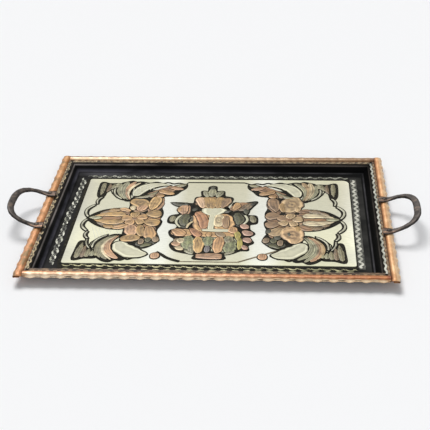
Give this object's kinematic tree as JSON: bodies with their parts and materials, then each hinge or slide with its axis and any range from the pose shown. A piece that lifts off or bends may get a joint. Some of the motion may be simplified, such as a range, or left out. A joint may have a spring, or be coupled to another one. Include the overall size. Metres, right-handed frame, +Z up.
{
  "type": "serving tray",
  "caption": "Rectangular serving tray with a dished floor, folded scalloped rim strips, a relief ornament panel and a riveted loop handle at each end.",
  "frame": {"origin": "middle of the flat underside, halfway between the rim's outer edges along both axes", "axes": "+X along the tray from handle to handle, +Y from the basket's foot towards its flowers, +Z up out of the tray's well"},
  "size_m": [0.5519, 0.327, 0.0342],
  "materials": {
    "black_lacquer": "glossy black lacquer with bright-cut lines",
    "copper": "burnished copper, darker in the hollows",
    "forged_iron": "dark forged surface, rubbed lighter and browner on the edges",
    "white_metal_plate": "satin white metal, slightly warm",
    "white_metal_ornament": "satin white metal with dark chased lines",
    "rose_copper": "satin, pinkish",
    "copper_ornament": "satin with dark chased lines",
    "bronze_patina": "satin, brown",
    "dark_patina": "dark, with lighter tops",
    "violet_patina": "satin, violet-pink",
    "green_patina": "satin, green-grey"
  },
  "bodies": {
    "root": {"tray_pan": "black_lacquer", "rim_front": "copper", "rim_back": "copper", "rim_left": "copper", "rim_right": "copper", "handle_left": "forged_iron", "handle_right": "forged_iron", "handle_rivets_left": "copper", "handle_rivets_right": "copper", "rivet_burrs_left": "copper", "rivet_burrs_right": "copper", "ground_plate": "white_metal_plate", "scrolls_left": "white_metal_ornament", "scrolls_right": "white_metal_ornament", "acanthus_left": "rose_copper", "acanthus_right": "rose_copper", "scalloped_edging_left": "white_metal_ornament", "scalloped_edging_right": "white_metal_ornament", "corner_leaves_left": "dark_patina", "corner_leaves_right": "dark_patina", "pod_left": "rose_copper", "pod_right": "rose_copper", "flower_petals_left": "copper_ornament", "flower_petals_right": "copper_ornament", "flower_buds_left": "bronze_patina", "flower_buds_right": "bronze_patina", "bouquet_petals": "copper_ornament", "bouquet_leaves": "dark_patina", "bouquet_violets": "violet_patina", "chalice": "white_metal_ornament", "basket": "green_patina", "basket_foot": "rose_copper"}
  },
  "joints": []
}
